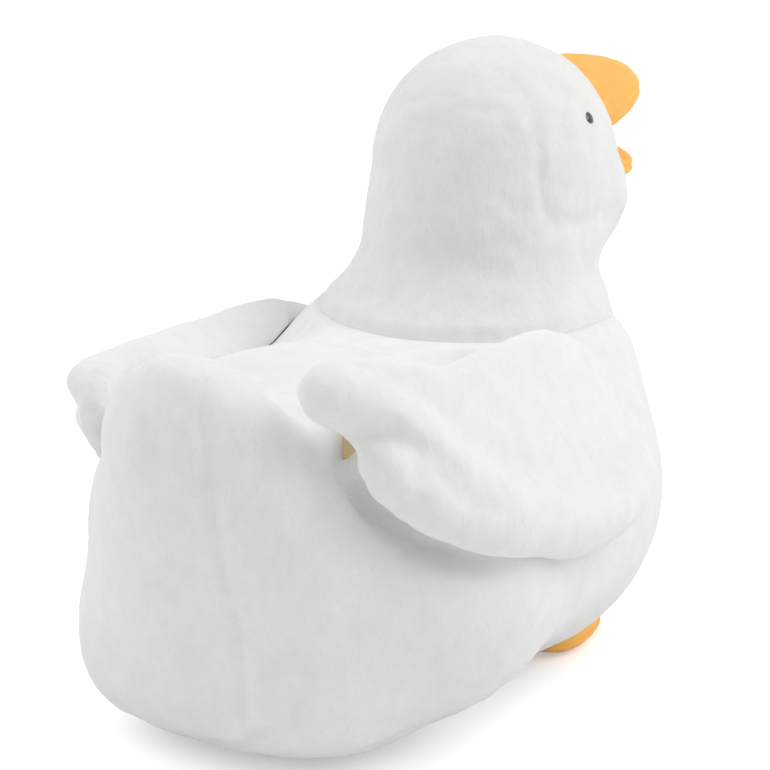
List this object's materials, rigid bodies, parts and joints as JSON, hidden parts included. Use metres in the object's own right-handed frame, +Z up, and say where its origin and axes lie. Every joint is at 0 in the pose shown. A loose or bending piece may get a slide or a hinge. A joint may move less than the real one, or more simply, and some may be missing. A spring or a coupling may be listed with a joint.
{
  "type": "duck hand puppet",
  "caption": "White plush duck that sits with its wings thrown back and its orange bill open. A hand goes in through a hole in its base and works the bill.",
  "frame": {"origin": "on the ground, under the middle of the bounding box", "axes": "-Y is the way the duck faces, +X is its left side, +Z is up. Y is the longest side and X the shortest."},
  "size_m": [0.2853, 0.3915, 0.3156],
  "materials": {
    "white_plush": "short soft pile plush",
    "orange_plush": "short soft pile plush",
    "lining": "plain woven cloth",
    "mouth_felt": "soft felt",
    "ribbon": "blank satin ribbon",
    "bead": "glossy black"
  },
  "bodies": {
    "root": {"body": "white_plush", "head": "white_plush", "right_wing": "white_plush", "left_wing": "white_plush", "upper_bill": "orange_plush", "lower_bill": "orange_plush", "right_foot": "orange_plush", "left_foot": "orange_plush", "mouth_lining": "mouth_felt", "hand_sleeve": "lining", "opening_hem": "lining", "side_label": "ribbon", "right_eye": "bead", "left_eye": "bead"}
  },
  "joints": []
}
